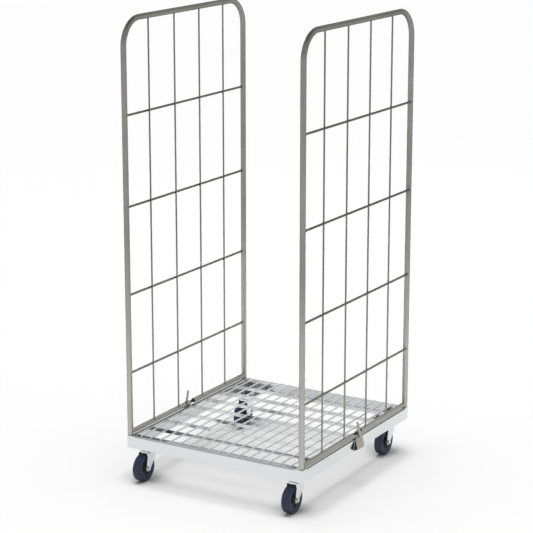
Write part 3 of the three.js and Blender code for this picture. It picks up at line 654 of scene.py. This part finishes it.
def make_panel(side, turned):
    panel, latch = side + "_panel", side + "_latch"

    def piece(name, parts, body, look, stands_for=None):
        mesh = as_mesh("fine_" + name, parts, turned)
        return add_piece(mesh, body, look, stands_for or name)

    piece(panel + "_frame", frame_parts(), panel, STEEL)
    piece(panel + "_wire_grid", grid_parts(), panel, GRID)
    upright = UP_Y - math.sqrt(TUBE_R**2 - LOW_R**2)
    front, rear = PIN_FRONT - COLLAR - SEAT_GAP, PIN_REAR + COLLAR + SEAT_GAP
    piece(panel + "_low_tube_a", low_tube_parts(front, -upright), panel, STEEL)
    piece(panel + "_low_tube_b", low_tube_parts(rear, upright), panel, STEEL)
    piece(latch + "_pin", pin_parts(), panel, DARK)
    sheet = piece(latch + "_plate", latch_plate_parts(), latch, STEEL)
    solid = sheet.modifiers.new("sheet", "SOLIDIFY")
    solid.thickness = PLATE_T * MM
    solid.offset = 0
    bevel(sheet, 0.3)
    piece(latch + "_sleeve", latch_sleeve_parts(), latch, STEEL, stands_for=latch + "_plate")
    # A near-black block inside the plate darkens the pocket seen through the opening in the front wing.
    piece(latch + "_black_block", latch_black_block_parts(), latch, LATCH_BLACK, stands_for=latch + "_plate")
    piece(latch + "_rod", latch_rod_parts(), latch, STEEL)


# Casters, in their own plan: the swivel axis is x = y = 0


def fork_mesh():
    """Pressed from one sheet: a side view cut out of a round-shouldered channel, and the swivel head."""
    inner, shoulder = TREAD / 2 + 3, 8.0
    outer, under, within = inner + FORK_SHEET, FORK_TOP - FORK_SHEET, shoulder - FORK_SHEET
    front, foot, past = -34.0, 31.0, 8.0
    boss = arc(-TRAIL, WHEEL_R, 11.0, 170, 315, 24)
    # The rear edge runs from the boss round the axle up to the crown, in one curve of 14 steps.
    ends, pull = (boss[-1], (23.0, FORK_TOP)), (-5.5, WHEEL_R + 5.5)
    rear = []
    for t in [i / 14 for i in range(1, 15)]:
        a, b, c = (1 - t) ** 2, 2 * t * (1 - t), t * t
        rear.append(tuple(a * ends[0][k] + b * pull[k] + c * ends[1][k] for k in range(2)))
    outline = [(front, FORK_TOP)] + boss + rear
    side_view = prism(outline, -outer - past, outer + past, lambda u, v, w: (w, u, v))
    section = [(outer, foot)]
    section += arc(outer - shoulder, FORK_TOP - shoulder, shoulder, 0, 90, 10)
    section += arc(-outer + shoulder, FORK_TOP - shoulder, shoulder, 90, 180, 10)
    section += [(-outer, foot), (-inner, foot)]
    section += arc(-inner + within, under - within, within, 180, 90, 10)
    section += arc(inner - within, under - within, within, 90, 0, 10)
    section += [(inner, foot)]
    channel = prism(section, -60.0, 40.0, lambda u, v, w: (u, w, v))
    # Height and radius of the head, which starts a little inside the crown.
    profile = [(FORK_TOP - 0.5, 0), (FORK_TOP - 0.5, 26), (112.0, 26), (113.2, 25.6), (119.4, 21.6)]
    profile += [(120.0, 20.6), (120.0, 0)]
    head = lathe(profile, (0, 0, 0), (0, 0, 1), 64)
    pin_hole = drill(PIN_HOLE_R, 98, 130, (0, 0, 0), (0, 0, 1))
    axle_hole = drill(AXLE_HOLE_R, -40, 40, (0, -TRAIL, WHEEL_R), (1, 0, 0))
    steps = [("INTERSECT", [channel]), ("UNION", [head])]
    steps += [("DIFFERENCE", [pin_hole]), ("DIFFERENCE", [axle_hole])]
    return carved("fork", [side_view], steps)


def hub_parts():
    bore, boss, face, web, rim = 8.3, 17.5, 12.0, 5.0, HUB_R - SEAT_GAP
    half = [(boss, bore), (boss, 13.2), (boss - 0.8, 14.0), (web + 1.5, 15.0), (web, 17.0)]
    half += [(web, rim - 8.0), (web + 1.0, rim - 6.5), (face - 1, rim - 5.2), (face - 0.3, rim - 4.8)]
    half += [(face, rim - 4.0), (face, rim - 0.4), (face - 0.4, rim)]
    return [lathe(mirrored(half), (0, -TRAIL, WHEEL_R), (1, 0, 0), 72, True)]


def tyre_parts():
    half = [(12.0, HUB_R), (12.4, HUB_R + 0.6), (13.0, HUB_R + 2.5), (14.4, HUB_R + 7), (14.9, WHEEL_R - 6)]
    half += [(15.0, WHEEL_R - 4.2), (14.85, WHEEL_R - 3.1), (14.4, WHEEL_R - 2.2), (13.6, WHEEL_R - 1.45)]
    half += [(12.4, WHEEL_R - 1.0), (10.0, WHEEL_R - 0.62), (6.5, WHEEL_R - 0.25), (3.0, WHEEL_R - 0.05)]
    half += [(0.0, WHEEL_R)]
    return [lathe(mirrored(half), (0, -TRAIL, WHEEL_R), (1, 0, 0), 96, True)]


def race_parts():
    """The ball race as one turned ring; its profile is height and radius."""
    profile = [(120.3, 13), (120.3, 22.5), (121.0, 24.2), (121.9, 25.0), (123.8, 25.0), (124.7, 24.2)]
    profile += [(125.4, 22.5), (125.4, 13)]
    return [lathe(profile, (0, 0, 0), (0, 0, 1), 64, True)]


def make_casters():
    fork = fork_mesh()
    for corner in CORNERS:
        offset = (SIDE_X[corner] * CASTER_X, SIDE_Y[corner] * CASTER_Y, 0)
        swivel, wheel, caster = corner + "_swivel", corner + "_wheel", corner + "_caster"
        mesh = fork.copy()
        mesh.name = "fine_" + caster + "_fork"
        mesh.transform(Matrix.Translation(Vector(offset) * MM))
        bevel(add_piece(mesh, swivel, ZINC, caster + "_fork", 40.0), 0.5)
        for node, parts, body, slot, look in (
            (wheel + "_tyre", tyre_parts(), wheel, "tyre_rubber", TYRE),
            (wheel + "_hub", hub_parts(), wheel, "hub_plastic", HUB),
            (caster + "_ball_race", race_parts(), swivel, "zinc_sheet", ZINC),
        ):
            mesh = as_mesh("fine_" + node, [moved(p, offset) for p in parts])
            add_piece(mesh, body, look, node)
        dress_node(caster + "_axle_bolt", WIRE)
        dress_node(caster + "_axle_nut", WIRE)
        dress_node(caster + "_kingpin", DARK)
        dress_node(caster + "_bearing", DARK)
    bpy.data.meshes.remove(fork)


# Floor, light and camera


def make_floor():
    look, nodes, links, shader = tree_of("floor_look")
    place = nodes.new("ShaderNodeTexCoord").outputs["Object"]
    cloud = noise(nodes, links, place, scale=0.6, detail=2.0)
    tone = mix(nodes, links, cloud, (0.515, 0.515, 0.515, 1), (0.525, 0.525, 0.525, 1))
    links.new(tone, shader.inputs["Base Color"])
    shader.inputs["Roughness"].default_value = 0.9
    shader.inputs["Specular IOR Level"].default_value = 0.1
    mesh = bpy.data.meshes.new("floor")
    reach = 60.0
    corners = [(-reach, -reach, 0), (reach, -reach, 0), (reach, reach, 0), (-reach, reach, 0)]
    mesh.from_pydata(corners, [], [(0, 1, 2, 3)])
    mesh.materials.append(look)
    floor = bpy.data.objects.new("floor", mesh)
    bpy.context.scene.collection.objects.link(floor)


def make_sky():
    """An even light all round, as bright as the floor at the horizon and dim overhead."""
    world = bpy.data.worlds.new("studio")
    bpy.context.scene.world = world
    world.use_nodes = True
    nodes, links = world.node_tree.nodes, world.node_tree.links
    nodes["Background"].inputs["Color"].default_value = (1, 1, 1, 1)
    height = height_of(nodes, links, nodes.new("ShaderNodeTexCoord").outputs["Generated"])
    even = spread(nodes, links, height, 0.95, 0.62, start=0.0, end=0.2)
    dim = spread(nodes, links, height, 1.0, 0.35, start=0.78, end=0.92)
    both = nodes.new("ShaderNodeMath")
    both.operation = "MULTIPLY"
    links.new(even, both.inputs[0])
    links.new(dim, both.inputs[1])
    links.new(both.outputs[0], nodes["Background"].inputs["Strength"])


def add_light(name, kind, place, target):
    data = bpy.data.lights.new(name, kind)
    obj = bpy.data.objects.new(name, data)
    bpy.context.scene.collection.objects.link(obj)
    obj.location = place
    obj.rotation_euler = (Vector(target) - Vector(place)).to_track_quat("-Z", "Y").to_euler()
    return obj, data


def make_lights():
    # Soft light from straight above, as from a wide lamp far up; the metal doesn't mirror it.
    lamp, data = add_light("overhead_light", "SUN", (0, 0, 4), (0, 0, 0))
    data.energy = 4.4
    data.angle = math.radians(44.0)
    lamp.visible_glossy = False
    _, data = add_light("rear_light", "AREA", (-0.6, 4.6, 3.2), (0, 0, 0.2))
    data.energy = 8.0
    data.size = 2.0


def make_camera():
    data = bpy.data.cameras.new("camera")
    data.lens = 126.2
    data.sensor_width = 36.0
    data.clip_end = 200.0
    obj = bpy.data.objects.new("camera", data)
    bpy.context.scene.collection.objects.link(obj)
    obj.location = (3.2726, -5.5768 + BASE_Y, 2.3817)
    turn, tip = math.radians(30.54), math.radians(14.19)
    ahead = Vector((-math.sin(turn) * math.cos(tip), math.cos(turn) * math.cos(tip), -math.sin(tip)))
    obj.rotation_euler = ahead.to_track_quat("-Z", "Y").to_euler()
    bpy.context.scene.camera = obj


make_floor()
make_sky()
make_lights()
make_camera()
make_base()
make_deck()
make_panel("right", False)
make_panel("left", True)
make_casters()
bpy.context.scene.view_settings.view_transform = "Standard"
